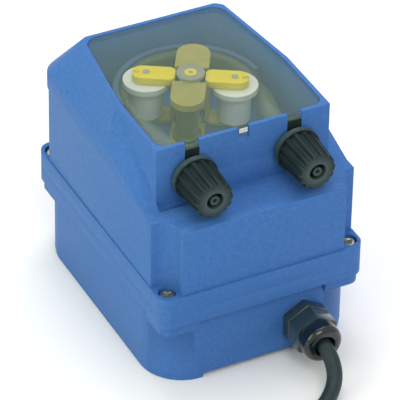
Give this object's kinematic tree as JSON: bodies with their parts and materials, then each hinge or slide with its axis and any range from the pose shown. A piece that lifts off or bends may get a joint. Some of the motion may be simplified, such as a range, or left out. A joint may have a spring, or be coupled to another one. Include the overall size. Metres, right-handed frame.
{
  "type": "peristaltic pump",
  "caption": "Wall-mounted peristaltic dosing pump in a plastic case, with a clear cover over the roller head, hose fittings and a supply cable.",
  "frame": {"origin": "centre of the case's footprint on the plane of its back rails, which go against the wall", "axes": "+Z away from the wall through the clear cover, -Y towards the hose fittings and the cable gland, -X towards the inlet side"},
  "size_m": [0.1282, 0.2725, 0.1122],
  "materials": {
    "case_blue": "satin moulded",
    "clear_cover": "clear, faintly tinted",
    "pale_insert": "satin moulded",
    "milky_tube": "translucent",
    "black_fitting": "matte",
    "amber_carrier": "translucent amber",
    "yellow_arm": "satin",
    "white_roller": "satin",
    "steel": "bright",
    "zinc_screw": "yellow zinc",
    "grey_hub": "satin",
    "gear_nylon": "satin",
    "gasket_rubber": "matte",
    "motor_steel": "zinc plated",
    "copper_coil": "enamelled wire",
    "board_green": "satin",
    "terminal_green": "satin",
    "cap_sleeve": "gloss",
    "gland_black": "gloss",
    "bronze": "sintered",
    "cable_sheath": "matte",
    "tie_black": "satin",
    "core_brown": "satin",
    "core_green_yellow": "satin",
    "core_blue": "satin",
    "tin": "tinned"
  },
  "bodies": {
    "case": {"rear_case": "case_blue", "front_case": "case_blue", "case_gasket": "gasket_rubber", "case_screws": "zinc_screw", "tube_raceway": "pale_insert", "squeeze_tube": "milky_tube", "inlet_connector": "black_fitting", "outlet_connector": "black_fitting", "shaft_bush": "bronze", "gearbox_housing": "gear_nylon", "gearbox_plate": "gear_nylon", "gearbox_screws": "zinc_screw", "gear_pins": "steel", "motor_can": "motor_steel", "motor_bearings": "bronze", "motor_coil": "copper_coil", "circuit_board": "board_green", "board_screws": "zinc_screw", "terminal_block": "terminal_green", "capacitor": "cap_sleeve", "gland_body": "gland_black", "gland_locknut": "gland_black", "gland_seal": "gasket_rubber", "inner_lead": "cable_sheath", "power_cable": "cable_sheath", "cable_coil": "cable_sheath", "cable_tail": "cable_sheath", "cable_tie": "tie_black", "core_brown": "core_brown", "core_earth": "core_green_yellow", "core_blue": "core_blue", "core_ferrules": "tin"},
    "cover": {"pump_cover": "clear_cover"},
    "inlet_cap": {"inlet_nut": "black_fitting"},
    "outlet_cap": {"outlet_nut": "black_fitting"},
    "gland_clamp": {"gland_cap": "gland_black"},
    "rotor": {"rotor_carrier": "amber_carrier", "guide_pins": "steel", "arm_springs": "steel", "hub_cap": "grey_hub", "shaft_nut": "yellow_arm", "drive_shaft": "steel", "output_gear": "gear_nylon"},
    "arm_left": {"roller_arm_left": "yellow_arm", "roller_pin_left": "steel"},
    "arm_right": {"roller_arm_right": "yellow_arm", "roller_pin_right": "steel"},
    "press_left": {"pressure_roller_left": "white_roller"},
    "press_right": {"pressure_roller_right": "white_roller"},
    "guide_front": {"guide_roller_front": "white_roller"},
    "guide_back": {"guide_roller_back": "white_roller"},
    "gear_one": {"first_gear": "gear_nylon"},
    "gear_two": {"second_gear": "gear_nylon"},
    "motor_spindle": {"motor_rotor": "motor_steel", "motor_pinion": "bronze"}
  },
  "joints": [
    {"name": "rotor_spin", "type": "hinge", "parent": "case", "child": "rotor", "pos_m": [0, 0.0095, 0.0955], "axis": [0, 0, 1], "continuous": true},
    {"name": "arm_left_press", "type": "slide", "parent": "rotor", "child": "arm_left", "axis": [0.8572, -0.515, 0], "range_m": [0, 0.002], "stiffness_N_per_m": 2000, "springref_m": -0.002},
    {"name": "arm_right_press", "type": "slide", "parent": "rotor", "child": "arm_right", "axis": [-0.8572, 0.515, 0], "range_m": [0, 0.002], "stiffness_N_per_m": 2000, "springref_m": -0.002},
    {"name": "press_left_spin", "type": "hinge", "parent": "arm_left", "child": "press_left", "pos_m": [-0.01654, 0.01944, 0.0955], "axis": [0, 0, 1], "continuous": true},
    {"name": "press_right_spin", "type": "hinge", "parent": "arm_right", "child": "press_right", "pos_m": [0.01654, -0.00044, 0.0955], "axis": [0, 0, 1], "continuous": true},
    {"name": "guide_front_spin", "type": "hinge", "parent": "rotor", "child": "guide_front", "pos_m": [-0.00845, -0.00456, 0.0955], "axis": [0, 0, 1], "continuous": true},
    {"name": "guide_back_spin", "type": "hinge", "parent": "rotor", "child": "guide_back", "pos_m": [0.00845, 0.02356, 0.0955], "axis": [0, 0, 1], "continuous": true},
    {"name": "gear_two_spin", "type": "hinge", "parent": "case", "child": "gear_two", "pos_m": [-0.0095, -0.003, 0.066], "axis": [0, 0, 1], "continuous": true},
    {"name": "gear_one_spin", "type": "hinge", "parent": "case", "child": "gear_one", "pos_m": [0.009, -0.008, 0.062], "axis": [0, 0, 1], "continuous": true},
    {"name": "motor_spin", "type": "hinge", "parent": "case", "child": "motor_spindle", "pos_m": [0, -0.0165, 0.04], "axis": [0, 0, 1], "continuous": true},
    {"name": "inlet_nut_turn", "type": "hinge", "parent": "case", "child": "inlet_cap", "pos_m": [-0.0243, -0.053, 0.0955], "axis": [0, -1, 0], "continuous": true},
    {"name": "outlet_nut_turn", "type": "hinge", "parent": "case", "child": "outlet_cap", "pos_m": [0.0243, -0.053, 0.0955], "axis": [0, -1, 0], "continuous": true},
    {"name": "gland_cap_turn", "type": "hinge", "parent": "case", "child": "gland_clamp", "pos_m": [0.021, -0.074, 0.016], "axis": [0, -1, 0], "continuous": true},
    {"name": "cover_lift", "type": "slide", "parent": "case", "child": "cover", "axis": [0, 0, 1], "range_m": [0, 0.06]}
  ],
  "couplings": [
    {"joint": "press_left_spin", "follows": "rotor_spin", "ratio": -3.7361},
    {"joint": "press_right_spin", "follows": "rotor_spin", "ratio": -3.7361},
    {"joint": "gear_two_spin", "follows": "rotor_spin", "ratio": -3.7692},
    {"joint": "gear_one_spin", "follows": "rotor_spin", "ratio": 20.103},
    {"joint": "motor_spin", "follows": "rotor_spin", "ratio": -89.345}
  ]
}
